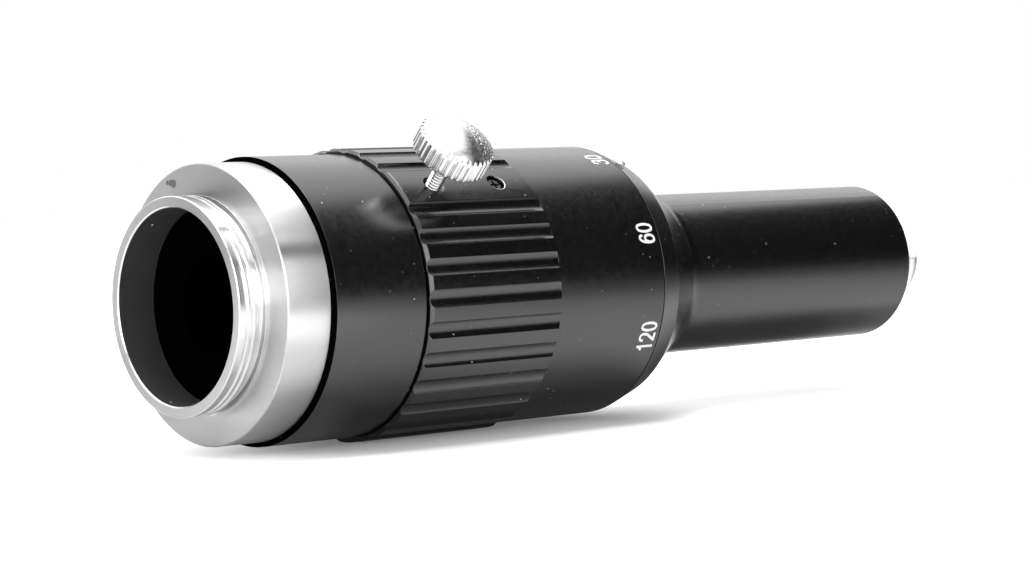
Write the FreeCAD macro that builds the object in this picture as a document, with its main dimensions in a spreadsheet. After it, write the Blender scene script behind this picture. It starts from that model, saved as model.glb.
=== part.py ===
import FreeCAD, Part
import math
import os
import re
from collections import namedtuple

import Sketcher

# A machine vision lens for a one inch, 32 turn camera thread, lying on its side.
# The optical axis is X, with the camera end at -X and the object end at +X.
# The origin is the centre of the flange face that seats on the camera.

# Driving dimensions, in millimetres and degrees.
SIZES = {
    # camera mount ring
    "nose_length": 4.0,
    "thread_radius": 12.7,
    "nose_edge": 0.12,
    "thread_length": 2.7,
    "relief_width": 0.9,
    "relief_depth": 0.65,
    "nose_wall": 1.3,
    "throat_edge": 0.3,
    "throat_depth": 5.0,
    "band_wall": 1.35,
    "band_edge": 0.35,
    "band_length": 6.0,
    "spigot_wall": 1.6,
    "spigot_length": 8.0,
    "core_seat_setback": 0.4,
    # light baffle in the throat
    "baffle_thickness": 1.2,
    "baffle_ledge": 0.8,
    "baffle_aperture": 5.5,
    "baffle_bevel": 0.8,
    "aperture_land": 0.2,
    # rear housing ring
    "housing_wall": 1.94,
    "housing_length": 13.6,
    "housing_rear_edge": 0.4,
    "housing_front_edge": 0.2,
    # fixed core barrel
    "core_bore": 10.8,
    "core_seat_wall": 2.6,
    "core_wall": 1.4,
    "slide_step": 1.2,
    "neck_step": 1.4,
    "bearing_length": 11.5,
    "slide_setback": 2.7,
    # grip ring with concave flutes and one wide land
    "grip_wall": 2.0,
    "grip_length": 20.5,
    "grip_edge": 0.35,
    "flute_places": 30,
    "flute_width": 2.06,
    "flute_depth": 0.45,
    "screw_angle": 43.0,
    # helicoid drive ring
    "helicoid_step": 0.8,
    "helicoid_overlap": 5.8,
    "helicoid_flange": 1.7,
    "drive_wall": 1.25,
    "washer_thickness": 0.25,
    "washer_width": 0.7,
    "ring_retainer_length": 1.6,
    "ring_retainer_wall": 0.7,
    # scale ring
    "scale_wall": 1.5,
    "scale_length": 17.45,
    "sleeve_surround": 0.25,
    "scale_edge": 0.08,
    # lock screw, its pellet and its tapped hole
    "lock_station": 25.25,
    "lock_shank_radius": 0.95,
    "lock_hole_radius": 1.0,
    "lock_hole_bevel": 0.35,
    "lock_travel": 0.75,
    "pellet_length": 0.8,
    "pellet_radius": 0.9,
    "head_standoff": 4.33,
    "head_radius": 4.6,
    "head_height": 2.8,
    "head_crown": 1.4,
    "head_edge": 0.2,
    "knurl_count": 36,
    "knurl_depth": 0.28,
    "knurl_width": 0.6,
    # recessed cross-head screw
    "ring_screw_station": 34.95,
    "ring_screw_recess": 0.4,
    "ring_screw_head_radius": 0.98,
    "ring_screw_head_height": 0.75,
    "ring_screw_pocket_radius": 1.2,
    "ring_screw_shank_radius": 0.7,
    "ring_screw_reach": 0.9,
    "ring_screw_edge": 0.12,
    "cross_span": 1.3,
    "cross_slot": 0.34,
    "cross_depth": 0.4,
    # front barrel
    "shoulder_length": 3.75,
    "shoulder_drop": 1.3,
    "shoulder_rounding": 0.4,
    "cone_length": 8.0,
    "cone_blend": 4.0,
    "tube_radius": 10.47,
    "tube_length": 42.5,
    "tube_edge": 0.3,
    "sleeve_gap": 1.8,
    "sleeve_pocket": 2.8,
    "inner_cone_length": 8.6,
    "tube_wall": 1.27,
    "dome_step": 0.8,
    "lens_step": 0.8,
    "dome_seat_depth": 4.4,
    # guide key and its screws
    "key_length": 4.5,
    "key_width": 2.0,
    "key_height": 1.5,
    "key_seat": 0.4,
    "key_setback": 1.5,
    "key_side_clearance": 0.03,
    "key_screw_spacing": 2.4,
    "key_screw_radius": 0.4,
    "key_screw_head_radius": 0.75,
    "key_screw_head_height": 0.4,
    "key_screw_recess": 0.1,
    "key_screw_reach": 0.7,
    # index pin
    "index_angle": 30.0,
    "index_setback": 1.3,
    "index_radius": 0.6,
    "index_standing": 0.45,
    "index_crown": 0.2,
    "index_depth": 1.6,
    # rear optical cell
    "cell_setback": 1.6,
    "cell_length": 13.0,
    "cell_wall": 2.6,
    "cell_floor": 1.0,
    "lens_land": 1.1,
    "cell_lip": 1.0,
    "rear_lens_edge": 2.2,
    "rear_lens_bulge": 1.3,
    "rear_spacer_length": 3.4,
    "inner_lens_edge": 2.6,
    "inner_lens_bulge": 0.9,
    "inner_lens_hollow": 1.1,
    "rear_retainer_length": 1.8,
    # optics in the slim tube
    "stack_length": 33.6,
    "stop_thickness": 0.8,
    "stop_aperture": 2.2,
    "spacer_wall": 0.9,
    "stop_spacer_length": 5.0,
    "flint_edge": 3.0,
    "flint_hollow": 0.7,
    "pair_bulge": 1.4,
    "crown_edge": 1.8,
    "crown_bulge": 1.2,
    "relay_spacer_length": 12.0,
    "meniscus_edge": 2.6,
    "meniscus_bulge": 1.7,
    "meniscus_hollow": 2.4,
    # dome lens and front retainer
    "dome_radius": 6.8,
    "dome_flange_thickness": 1.6,
    "dome_neck_length": 6.0,
    "dome_wall": 1.4,
    "dome_inner_setback": 1.6,
    "retainer_clearance": 0.15,
    "retainer_recess": 0.4,
    "retainer_slot_width": 1.2,
    "retainer_slot_depth": 0.7,
    # fits
    "seat_clearance": 0.02,
    "running_clearance": 0.05,
    "turning_gap": 0.1,
}

ALIAS = re.compile(r"\b(" + "|".join(SIZES) + r")\b")

# Stations along the axis, measured from the nose face towards the object.
FLANGE = "nose_length"
BAND_END = f"({FLANGE} + band_length)"
SPIGOT_END = f"({BAND_END} + spigot_length)"
BAFFLE_END = "(throat_depth + baffle_thickness)"
CORE_START = f"({BAND_END} + core_seat_setback)"
HOUSING_END = f"({BAND_END} + housing_length)"
GRIP_START = f"({HOUSING_END} + turning_gap)"
GRIP_END = f"({GRIP_START} + grip_length)"
BEARING_END = f"({GRIP_START} + bearing_length)"
DRIVE_START = f"({BEARING_END} + washer_thickness + running_clearance)"
DRIVE_FLANGE_END = f"({DRIVE_START} + helicoid_flange)"
DRIVE_END = f"({GRIP_END} + helicoid_overlap)"
FRONT_WASHER = f"({DRIVE_FLANGE_END} + running_clearance)"
RING_RETAINER_START = f"({FRONT_WASHER} + washer_thickness)"
NECK_END = f"({RING_RETAINER_START} + ring_retainer_length)"
SLEEVE_START = f"({NECK_END} + sleeve_gap)"
SCALE_END = f"({GRIP_END} + scale_length)"
SHOULDER = f"({SCALE_END} + turning_gap)"
SHOULDER_END = f"({SHOULDER} + shoulder_length)"
CONE_END = f"({SHOULDER_END} + cone_length)"
TUBE_END = f"({CONE_END} + tube_length)"
SLIDE_END = f"({SHOULDER} - slide_setback)"
KEY_END = f"({SLIDE_END} - key_setback)"
KEY_START = f"({KEY_END} - key_length)"
KEY_MIDDLE = f"({KEY_END} - key_length / 2)"
KEY_SCREW_PLACES = (f"({KEY_MIDDLE} - key_screw_spacing / 2)", f"({KEY_MIDDLE} + key_screw_spacing / 2)")
DOME_SEAT = f"({TUBE_END} - dome_seat_depth)"
STACK_START = f"({DOME_SEAT} - stack_length)"
CELL_START = f"({CORE_START} + cell_setback)"
CELL_END = f"({CELL_START} + cell_length)"
SLEEVE_POCKET_END = f"({SHOULDER} + sleeve_pocket)"
STOP_END = f"({STACK_START} + stop_thickness)"
FLINT_START = f"({STOP_END} + stop_spacer_length)"
FLINT_END = f"({FLINT_START} + flint_edge)"
CROWN_START = f"({FLINT_END} + seat_clearance)"
CROWN_END = f"({CROWN_START} + crown_edge)"
MENISCUS_START = f"({CROWN_END} + relay_spacer_length)"
MENISCUS_END = f"({MENISCUS_START} + meniscus_edge)"
DOME_FLANGE_END = f"({DOME_SEAT} + dome_flange_thickness)"
DOME_CENTRE = f"({DOME_FLANGE_END} + dome_neck_length)"
DOME_INNER_CENTRE = f"({DOME_CENTRE} - dome_inner_setback)"
REAR_LENS_START = f"({CELL_START} + cell_floor)"
REAR_LENS_END = f"({REAR_LENS_START} + rear_lens_edge)"
INNER_LENS_START = f"({REAR_LENS_END} + rear_spacer_length)"
INNER_LENS_END = f"({INNER_LENS_START} + inner_lens_edge)"

# Distances from the axis, each worked out from the bore of the core and the walls around it.
THROAT_RADIUS = "(thread_radius - nose_wall)"
SLIDE_RADIUS = "(core_bore + core_wall)"
NECK_RADIUS = f"({SLIDE_RADIUS} + slide_step)"
BEARING_RADIUS = f"({NECK_RADIUS} + neck_step)"
HELICOID_RADIUS = f"({BEARING_RADIUS} + helicoid_step)"
DRIVE_RADIUS = f"({HELICOID_RADIUS} - drive_wall)"
GRIP_RADIUS = f"({HELICOID_RADIUS} + grip_wall)"
SCALE_RADIUS = f"({HELICOID_RADIUS} + scale_wall)"
SCALE_BORE = f"({DRIVE_RADIUS} + sleeve_surround)"
CORE_SEAT_RADIUS = "(core_bore + core_seat_wall)"
SPIGOT_RADIUS = f"({CORE_SEAT_RADIUS} + spigot_wall)"
HOUSING_RADIUS = f"({SPIGOT_RADIUS} + housing_wall)"
BAND_RADIUS = f"({SPIGOT_RADIUS} + band_wall)"
WASHER_RADIUS = f"({NECK_RADIUS} + washer_width)"
RING_RETAINER_RADIUS = f"({NECK_RADIUS} + ring_retainer_wall)"
CELL_LENS_RADIUS = "(core_bore - cell_wall)"
CELL_APERTURE = f"({CELL_LENS_RADIUS} - cell_lip)"
DOME_BORE = "(tube_radius - tube_wall)"
LENS_BORE = f"({DOME_BORE} - dome_step)"
TUBE_BORE = f"({LENS_BORE} - lens_step)"
DOME_INNER_RADIUS = "(dome_radius - dome_wall)"

# Places out along the key, the screws and the index pin.
KEY_SEAT_RADIUS = f"({SLIDE_RADIUS} - key_seat)"
KEY_TOP = f"({KEY_SEAT_RADIUS} + key_height)"
KEY_SCREW_TOP = f"({KEY_TOP} - key_screw_recess)"
KEY_SCREW_SEAT = f"({KEY_SCREW_TOP} - key_screw_head_height)"
KEY_SCREW_TIP = f"({KEY_SEAT_RADIUS} - key_screw_reach)"
KEY_ANGLE = "(index_angle + 180)"
FLUTE_RADIUS = "(((flute_width / 2) ^ 2 + flute_depth ^ 2) / (2 * flute_depth))"
FLUTE_CENTRE = f"({GRIP_RADIUS} - flute_depth + {FLUTE_RADIUS})"
TUBE_LENS_RADIUS = f"({LENS_BORE} - seat_clearance)"
TUBE_SPACER_BORE = f"({LENS_BORE} - spacer_wall)"
LOCK_TIP = f"({BEARING_RADIUS} + running_clearance + lock_travel + pellet_length)"
HEAD_UNDERSIDE = f"({GRIP_RADIUS} + head_standoff)"
KNURL_TOP = f"({HEAD_UNDERSIDE} + head_height)"
RING_SCREW_TOP = f"({GRIP_RADIUS} - ring_screw_recess)"
RING_SCREW_SEAT = f"({RING_SCREW_TOP} - ring_screw_head_height)"
RING_SCREW_TIP = f"({HELICOID_RADIUS} - ring_screw_reach)"
INDEX_SURFACE = f"({SCALE_RADIUS} - shoulder_drop * index_setback / shoulder_length)"
INDEX_FLOOR = f"({INDEX_SURFACE} - index_depth)"

# One corner of a turned section: its place along the axis, its distance from it, and whether the
# edge that arrives there is round, with its centre on the axis.
Corner = namedtuple("Corner", "along out round", defaults=(False,))
# How closely an edge has to lie where it is looked for.
MATCH = 0.001

doc = FreeCAD.newDocument("MachineVisionLens")
sheet = doc.addObject("Spreadsheet::Sheet", "Sizes")
for row, (name, size) in enumerate(SIZES.items(), start=1):
    sheet.set(f"A{row}", name)
    sheet.set(f"B{row}", str(size))
    sheet.setAlias(f"B{row}", name)
doc.recompute()

pieces = []


def formula(text):
    """The expression with each size's name read from the sheet."""
    return ALIAS.sub(r"Sizes.\1", text)


def value(text):
    """The number that an expression has now."""
    return float(sheet.evalExpression(formula(text)))


def bind(thing, path, text):
    """Tie a property or constraint to the sheet."""
    thing.setExpression(path, formula(text))


def new_body(label):
    """An empty piece whose axial zero is the nose face, with the flange at the origin."""
    body = doc.addObject("PartDesign::Body", label)
    body.Label = label
    bind(body, "Placement.Base.x", "-nose_length")
    pieces.append(body)
    return body


def turn_about_axis(body, angle):
    """Turn a whole piece about the optical axis, from up towards -Y."""
    body.Placement = FreeCAD.Placement(body.Placement.Base, FreeCAD.Rotation(FreeCAD.Vector(1, 0, 0), 1))
    bind(body, "Placement.Rotation.Angle", f"{angle} * 1deg")


def origin_item(body, role):
    """One of the body's own origin planes or axes."""
    return next(item for item in body.Origin.OriginFeatures if item.Role == role)


def new_sketch(body, name, plane, height=None):
    """A sketch on one of the body's own origin planes, or at a height above it."""
    sketch = body.newObject("Sketcher::SketchObject", f"{body.Label}_{name}")
    sketch.AttachmentSupport = [(origin_item(body, plane), "")]
    sketch.MapMode = "FlatFace"
    if height is not None:
        bind(sketch, "AttachmentOffset.Base.z", height)
    return sketch


def place_point(sketch, element, vertex, across, up):
    """Hold one point of a sketch at a distance from each axis of the sketch."""
    for text, kind, axis in ((across, "DistanceX", -2), (up, "DistanceY", -1)):
        if text == "0":
            sketch.addConstraint(Sketcher.Constraint("PointOnObject", element, vertex, axis))
        else:
            number = sketch.addConstraint(
                Sketcher.Constraint(kind, -1, 1, element, vertex, value(text)))
            bind(sketch, f"Constraints[{number}]", text)


def arc_between(first, second):
    """The arc from one corner to the next with its centre on the turning axis, and its end order."""
    (a0, r0), (a1, r1) = first, second
    middle = ((a1 ** 2 + r1 ** 2) - (a0 ** 2 + r0 ** 2)) / (2 * (a1 - a0))
    radius = math.hypot(a0 - middle, r0)
    start = math.atan2(r0, a0 - middle)
    end = math.atan2(r1, a1 - middle)
    forward = (end - start) % (2 * math.pi) <= math.pi
    return middle, radius, (start, end) if forward else (end, start), forward


def draw_section(sketch, corners, upright):
    """Draw a closed half section. An upright one has its axis up the sketch instead of across."""
    def spot(along, out):
        return FreeCAD.Vector(out, along, 0) if upright else FreeCAD.Vector(along, out, 0)

    axis = -2 if upright else -1
    ends = []
    for here, there in zip(corners, corners[1:] + corners[:1]):
        first = (value(here.along), value(here.out))
        second = (value(there.along), value(there.out))
        if there.round:
            middle, radius, (start, end), forward = arc_between(first, second)
            circle = Part.Circle(spot(middle, 0), FreeCAD.Vector(0, 0, 1), radius)
            if upright:
                start, end = math.pi / 2 - end, math.pi / 2 - start
                forward = not forward
            number = sketch.addGeometry(Part.ArcOfCircle(circle, start, end))
            sketch.addConstraint(Sketcher.Constraint("PointOnObject", number, 3, axis))
            ends.append((number, 1, 2) if forward else (number, 2, 1))
        else:
            number = sketch.addGeometry(Part.LineSegment(spot(*first), spot(*second)))
            ends.append((number, 1, 2))
    for (number, first, _), (before, _, last), corner in zip(ends, ends[-1:] + ends[:-1], corners):
        sketch.addConstraint(Sketcher.Constraint("Coincident", before, last, number, first))
        across, up = (corner.out, corner.along) if upright else (corner.along, corner.out)
        place_point(sketch, number, first, across, up)


def turned(label, corners, upright=False):
    """A piece turned on a lathe from a closed half section."""
    body = new_body(label)
    sketch = new_sketch(body, "section", "XZ_Plane")
    draw_section(sketch, [Corner(*corner) for corner in corners], upright)
    doc.recompute()
    feature = body.newObject("PartDesign::Revolution", f"{label}_turned")
    feature.Profile = sketch
    feature.ReferenceAxis = (sketch, ["V_Axis" if upright else "H_Axis"])
    feature.Angle = 360
    sketch.Visibility = False
    doc.recompute()
    return body


def tube(label, start, end, inside, outside):
    """A plain ring between two stations."""
    return turned(label, [(start, inside), (start, outside), (end, outside), (end, inside)])


def cut(body, sketch, name, depth=None, reverse=False, both_ways=False):
    """Cut a sketch into its piece, to a depth or right through, and make sure that it cuts."""
    before = body.Shape.Volume
    pocket = body.newObject("PartDesign::Pocket", f"{body.Label}_{name}")
    pocket.Profile = sketch
    pocket.Reversed = reverse
    pocket.SideType = "Symmetric" if both_ways else "One side"
    if depth is None:
        pocket.Type = "ThroughAll"
    else:
        pocket.Type = "Length"
        bind(pocket, "Length", depth)
    doc.recompute()
    if body.Shape.Volume >= before:
        raise RuntimeError(f"{name} cuts nothing from {body.Label}")
    return pocket


def circle_on(sketch, across, up, radius):
    """A circle in a sketch, with its centre and radius tied to the sheet."""
    centre = FreeCAD.Vector(value(across), value(up), 0)
    number = sketch.addGeometry(Part.Circle(centre, FreeCAD.Vector(0, 0, 1), value(radius)))
    place_point(sketch, number, 3, across, up)
    size = sketch.addConstraint(Sketcher.Constraint("Radius", number, value(radius)))
    bind(sketch, f"Constraints[{size}]", radius)


def rectangle_on(sketch, left, right, height):
    """A rectangle in a sketch, standing astride its horizontal axis."""
    low, high, half = value(left), value(right), value(height) / 2
    corners = [(low, -half), (high, -half), (high, half), (low, half)]
    spots = [FreeCAD.Vector(across, up, 0) for across, up in corners]
    lines = [sketch.addGeometry(Part.LineSegment(here, there))
             for here, there in zip(spots, spots[1:] + spots[:1])]
    for here, there in zip(lines, lines[1:] + lines[:1]):
        sketch.addConstraint(Sketcher.Constraint("Coincident", here, 2, there, 1))
    bottom, side, top, _ = lines
    for line, kind in ((bottom, "Horizontal"), (side, "Vertical"), (top, "Horizontal")):
        sketch.addConstraint(Sketcher.Constraint(kind, line))
    sketch.addConstraint(Sketcher.Constraint("Symmetric", bottom, 1, top, 2, -1))
    spans = ((bottom, "DistanceX", f"({right}) - ({left})"), (side, "DistanceY", height))
    for line, kind, text in spans:
        number = sketch.addConstraint(Sketcher.Constraint(kind, line, 1, line, 2, value(text)))
        bind(sketch, f"Constraints[{number}]", text)
    number = sketch.addConstraint(Sketcher.Constraint("DistanceX", -1, 1, side, 1, value(right)))
    bind(sketch, f"Constraints[{number}]", right)


def wedge_on(sketch, tip, base, width):
    """A triangle in a sketch, pointing at the origin, with its tip on the horizontal axis."""
    half = value(width) / 2
    corners = [(value(tip), 0), (value(base), -half), (value(base), half)]
    spots = [FreeCAD.Vector(across, up, 0) for across, up in corners]
    lines = [sketch.addGeometry(Part.LineSegment(here, there))
             for here, there in zip(spots, spots[1:] + spots[:1])]
    for here, there in zip(lines, lines[1:] + lines[:1]):
        sketch.addConstraint(Sketcher.Constraint("Coincident", here, 2, there, 1))
    first, side, _ = lines
    place_point(sketch, first, 1, tip, "0")
    sketch.addConstraint(Sketcher.Constraint("Symmetric", side, 1, side, 2, -1))
    number = sketch.addConstraint(Sketcher.Constraint("DistanceX", -1, 1, side, 1, value(base)))
    bind(sketch, f"Constraints[{number}]", base)
    number = sketch.addConstraint(Sketcher.Constraint("DistanceY", side, 1, side, 2, value(width)))
    bind(sketch, f"Constraints[{number}]", width)


def pattern_round(body, feature, count, sweep, reverse=False):
    """Repeat a cut round the normal of its sketch, over a given sweep."""
    pattern = body.newObject("PartDesign::PolarPattern", f"{feature.Label}_round")
    pattern.Originals = [feature]
    pattern.Axis = (feature.Profile[0], ["N_Axis"])
    pattern.Reversed = reverse
    bind(pattern, "Angle", f"({sweep}) * 1deg")
    bind(pattern, "Occurrences", count)
    body.Tip = pattern
    doc.recompute()


def drill(body, sketch, name, radius, depth, mouth, mouth_radius, mouth_depth=None):
    """Drill a hole inwards from its sketch, with a countersunk or counterbored mouth."""
    before = body.Shape.Volume
    hole = body.newObject("PartDesign::Hole", f"{body.Label}_{name}")
    hole.Profile = sketch
    doc.recompute()
    hole.DepthType = "Dimension"
    hole.DrillPoint = "Flat"
    hole.HoleCutType = mouth
    hole.HoleCutCustomValues = True
    bind(hole, "Diameter", f"2 * ({radius})")
    bind(hole, "Depth", depth)
    bind(hole, "HoleCutDiameter", f"2 * ({mouth_radius})")
    if mouth_depth is not None:
        bind(hole, "HoleCutDepth", mouth_depth)
    sketch.Visibility = False
    doc.recompute()
    if body.Shape.Volume >= before:
        raise RuntimeError(f"{name} cuts nothing from {body.Label}")


def spanner_slots(body, front):
    """A pair of spanner slots straight across the front face of a retainer."""
    sketch = new_sketch(body, "slot", "XY_Plane")
    rectangle_on(sketch, f"{front} - retainer_slot_depth", front, "retainer_slot_width")
    cut(body, sketch, "slots", both_ways=True)


def round_edge(body, name, station, distance, radius):
    """Round the circular edge at a station and a distance from the axis."""
    def is_wanted(edge):
        if not isinstance(edge.Curve, Part.Circle):
            return False
        centre = edge.Curve.Center
        return (math.isclose(centre.x, value(station), abs_tol=MATCH)
                and math.isclose(edge.Curve.Radius, value(distance), abs_tol=MATCH))

    last = body.Tip
    edges = [f"Edge{number}" for number, edge in enumerate(last.Shape.Edges, start=1)
             if is_wanted(edge)]
    fillet = body.newObject("PartDesign::Fillet", f"{body.Label}_{name}")
    fillet.Base = (last, edges)
    bind(fillet, "Radius", radius)
    doc.recompute()


def place_along(body, station):
    """Move a piece that is built round its own upright axis to its station."""
    bind(body, "Placement.Base.x", f"{station} - nose_length")


def retainer(label, start, end, inside, outside):
    """A retaining ring with spanner slots in its front face."""
    body = tube(label, start, end, inside, outside)
    spanner_slots(body, end)


def element(label, start, end, radius, rear, front):
    """A round lens element. Each face bulges out of its edge by the depth given, or is hollow."""
    clear = f"({radius} - lens_land)"
    turned(label, [
        (start, clear, True), (start, radius), (end, radius), (end, clear),
        (f"({end} + {front})", "0", True), (f"({start} - {rear})", "0")])


# The camera end.
mount_ring = turned("mount_ring", [
    ("0", f"{THROAT_RADIUS} + throat_edge"), ("0", "thread_radius - nose_edge"),
    ("nose_edge", "thread_radius"), ("thread_length", "thread_radius"),
    ("thread_length", "thread_radius - relief_depth"),
    ("thread_length + relief_width", "thread_radius - relief_depth"),
    ("thread_length + relief_width", "thread_radius"), (FLANGE, "thread_radius"),
    (FLANGE, f"{BAND_RADIUS} - band_edge"), (f"{FLANGE} + band_edge", BAND_RADIUS),
    (BAND_END, BAND_RADIUS), (BAND_END, SPIGOT_RADIUS), (SPIGOT_END, SPIGOT_RADIUS),
    (SPIGOT_END, CORE_SEAT_RADIUS), (CORE_START, CORE_SEAT_RADIUS),
    (CORE_START, f"{THROAT_RADIUS} - baffle_ledge"), (BAFFLE_END, f"{THROAT_RADIUS} - baffle_ledge"),
    (BAFFLE_END, THROAT_RADIUS), ("throat_edge", THROAT_RADIUS)])
turned("rear_baffle", [
    ("throat_depth", "baffle_aperture"), ("throat_depth", f"{THROAT_RADIUS} - seat_clearance"),
    (BAFFLE_END, f"{THROAT_RADIUS} - seat_clearance"), (BAFFLE_END, "baffle_aperture + baffle_bevel"),
    ("throat_depth + aperture_land", "baffle_aperture")])
turned("rear_housing", [
    (BAND_END, f"{SPIGOT_RADIUS} + seat_clearance"), (BAND_END, f"{HOUSING_RADIUS} - housing_rear_edge"),
    (f"{BAND_END} + housing_rear_edge", HOUSING_RADIUS),
    (f"{HOUSING_END} - housing_front_edge", HOUSING_RADIUS),
    (HOUSING_END, f"{HOUSING_RADIUS} - housing_front_edge"),
    (HOUSING_END, f"{BEARING_RADIUS} + seat_clearance"),
    (SPIGOT_END, f"{BEARING_RADIUS} + seat_clearance"), (SPIGOT_END, f"{SPIGOT_RADIUS} + seat_clearance")])

# The fixed core, with its guide key on the side away from the index pin.
core_barrel = turned("core_barrel", [
    (CORE_START, "core_bore"), (CORE_START, f"{CORE_SEAT_RADIUS} - seat_clearance"),
    (SPIGOT_END, f"{CORE_SEAT_RADIUS} - seat_clearance"), (SPIGOT_END, BEARING_RADIUS),
    (BEARING_END, BEARING_RADIUS), (BEARING_END, NECK_RADIUS), (NECK_END, NECK_RADIUS),
    (NECK_END, SLIDE_RADIUS), (SLIDE_END, SLIDE_RADIUS), (SLIDE_END, "core_bore")])
turn_about_axis(core_barrel, KEY_ANGLE)
seat = new_sketch(core_barrel, "key_seat", "XY_Plane", KEY_SEAT_RADIUS)
rectangle_on(seat, f"{KEY_START} - seat_clearance", f"{KEY_END} + seat_clearance",
             "key_width + 2 * seat_clearance")
cut(core_barrel, seat, "key_seat_cut", reverse=True)
holes = new_sketch(core_barrel, "key_holes", "XY_Plane", KEY_SEAT_RADIUS)
for place in KEY_SCREW_PLACES:
    circle_on(holes, place, "0", "key_screw_radius + seat_clearance")
cut(core_barrel, holes, "key_holes_cut", "key_screw_reach")

guide_key = new_body("guide_key")
turn_about_axis(guide_key, KEY_ANGLE)
outline = new_sketch(guide_key, "outline", "XY_Plane", KEY_SEAT_RADIUS)
rectangle_on(outline, KEY_START, KEY_END, "key_width")
block = guide_key.newObject("PartDesign::Pad", "guide_key_block")
block.Profile = outline
bind(block, "Length", "key_height")
doc.recompute()
holes = new_sketch(guide_key, "holes", "XY_Plane", KEY_TOP)
for place in KEY_SCREW_PLACES:
    circle_on(holes, place, "0", "key_screw_radius")
drill(guide_key, holes, "screw_holes", "key_screw_radius + seat_clearance", "key_height",
      "Counterbore", "key_screw_head_radius + seat_clearance",
      "key_screw_head_height + key_screw_recess")

key_screws = turned("key_screws", [
    (KEY_SCREW_TIP, "0"), (KEY_SCREW_TIP, "key_screw_radius"), (KEY_SCREW_SEAT, "key_screw_radius"),
    (KEY_SCREW_SEAT, "key_screw_head_radius"), (KEY_SCREW_TOP, "key_screw_head_radius"),
    (KEY_SCREW_TOP, "0")], upright=True)
turn_about_axis(key_screws, KEY_ANGLE)
place_along(key_screws, f"{KEY_MIDDLE} - key_screw_spacing / 2")
both = key_screws.newObject("PartDesign::LinearPattern", "key_screws_both")
both.Originals = [key_screws.Tip]
both.Direction = (origin_item(key_screws, "X_Axis"), [""])
bind(both, "Length", "key_screw_spacing")
both.Occurrences = 2
key_screws.Tip = both
doc.recompute()

# The rear lens cell, inside the core.
turned("rear_cell", [
    (CELL_START, CELL_APERTURE), (CELL_START, "core_bore - seat_clearance"),
    (CELL_END, "core_bore - seat_clearance"), (CELL_END, f"{CELL_LENS_RADIUS} + seat_clearance"),
    (REAR_LENS_START, f"{CELL_LENS_RADIUS} + seat_clearance"), (REAR_LENS_START, CELL_APERTURE)])
element("rear_lens", REAR_LENS_START, REAR_LENS_END, CELL_LENS_RADIUS,
        "rear_lens_bulge", "rear_lens_bulge")
tube("rear_spacer", REAR_LENS_END, INNER_LENS_START, f"{CELL_LENS_RADIUS} - spacer_wall",
     CELL_LENS_RADIUS)
element("inner_lens", INNER_LENS_START, INNER_LENS_END, CELL_LENS_RADIUS,
        "(-inner_lens_hollow)", "inner_lens_bulge")
retainer("rear_retainer", INNER_LENS_END, f"({INNER_LENS_END} + rear_retainer_length)",
         f"{CELL_LENS_RADIUS} - spacer_wall", CELL_LENS_RADIUS)

# The turning ring: grip, helicoid drive ring and scale ring, held between two glide washers.
grip_ring = turned("grip_ring", [
    (GRIP_START, f"{BEARING_RADIUS} + running_clearance"), (GRIP_START, f"{GRIP_RADIUS} - grip_edge"),
    (f"{GRIP_START} + grip_edge", GRIP_RADIUS), (f"{GRIP_END} - grip_edge", GRIP_RADIUS),
    (GRIP_END, f"{GRIP_RADIUS} - grip_edge"), (GRIP_END, f"{HELICOID_RADIUS} + seat_clearance"),
    (DRIVE_START, f"{HELICOID_RADIUS} + seat_clearance"),
    (DRIVE_START, f"{BEARING_RADIUS} + running_clearance")])
turn_about_axis(grip_ring, "screw_angle")
flute = new_sketch(grip_ring, "flute", "YZ_Plane")
circle_on(flute, f"{FLUTE_CENTRE} * sin(360deg / flute_places)",
          f"{FLUTE_CENTRE} * cos(360deg / flute_places)", FLUTE_RADIUS)
first_flute = cut(grip_ring, flute, "first_flute", reverse=True)
pattern_round(grip_ring, first_flute, "flute_places - 1", "360 - 2 * 360 / flute_places",
              reverse=True)
mark = new_sketch(grip_ring, "lock_hole", "XY_Plane", GRIP_RADIUS)
circle_on(mark, f"{FLANGE} + lock_station", "0", "lock_hole_radius")
drill(grip_ring, mark, "lock_screw_hole", "lock_hole_radius", f"{GRIP_RADIUS} - {BEARING_RADIUS}",
      "Countersink", "lock_hole_radius + lock_hole_bevel")
mark = new_sketch(grip_ring, "ring_screw_hole", "XY_Plane", GRIP_RADIUS)
circle_on(mark, f"{FLANGE} + ring_screw_station", "0", "ring_screw_shank_radius")
drill(grip_ring, mark, "ring_screw_pocket", "ring_screw_shank_radius + seat_clearance",
      f"{GRIP_RADIUS} - {HELICOID_RADIUS}", "Counterbore", "ring_screw_pocket_radius",
      "ring_screw_recess + ring_screw_head_height")

for label, start in (("rear_glide_washer", BEARING_END), ("front_glide_washer", FRONT_WASHER)):
    tube(label, start, f"{start} + washer_thickness", f"{NECK_RADIUS} + seat_clearance", WASHER_RADIUS)
retainer("ring_retainer", RING_RETAINER_START, NECK_END, f"{NECK_RADIUS} + seat_clearance",
         RING_RETAINER_RADIUS)

helicoid_ring = turned("helicoid_ring", [
    (DRIVE_START, f"{NECK_RADIUS} + running_clearance"), (DRIVE_START, HELICOID_RADIUS),
    (DRIVE_END, HELICOID_RADIUS), (DRIVE_END, DRIVE_RADIUS), (DRIVE_FLANGE_END, DRIVE_RADIUS),
    (DRIVE_FLANGE_END, f"{NECK_RADIUS} + running_clearance")])
turn_about_axis(helicoid_ring, "screw_angle")
mark = new_sketch(helicoid_ring, "ring_screw_hole", "XY_Plane", RING_SCREW_TIP)
circle_on(mark, f"{FLANGE} + ring_screw_station", "0", "ring_screw_shank_radius + seat_clearance")
cut(helicoid_ring, mark, "ring_screw_hole_cut", reverse=True)

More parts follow.
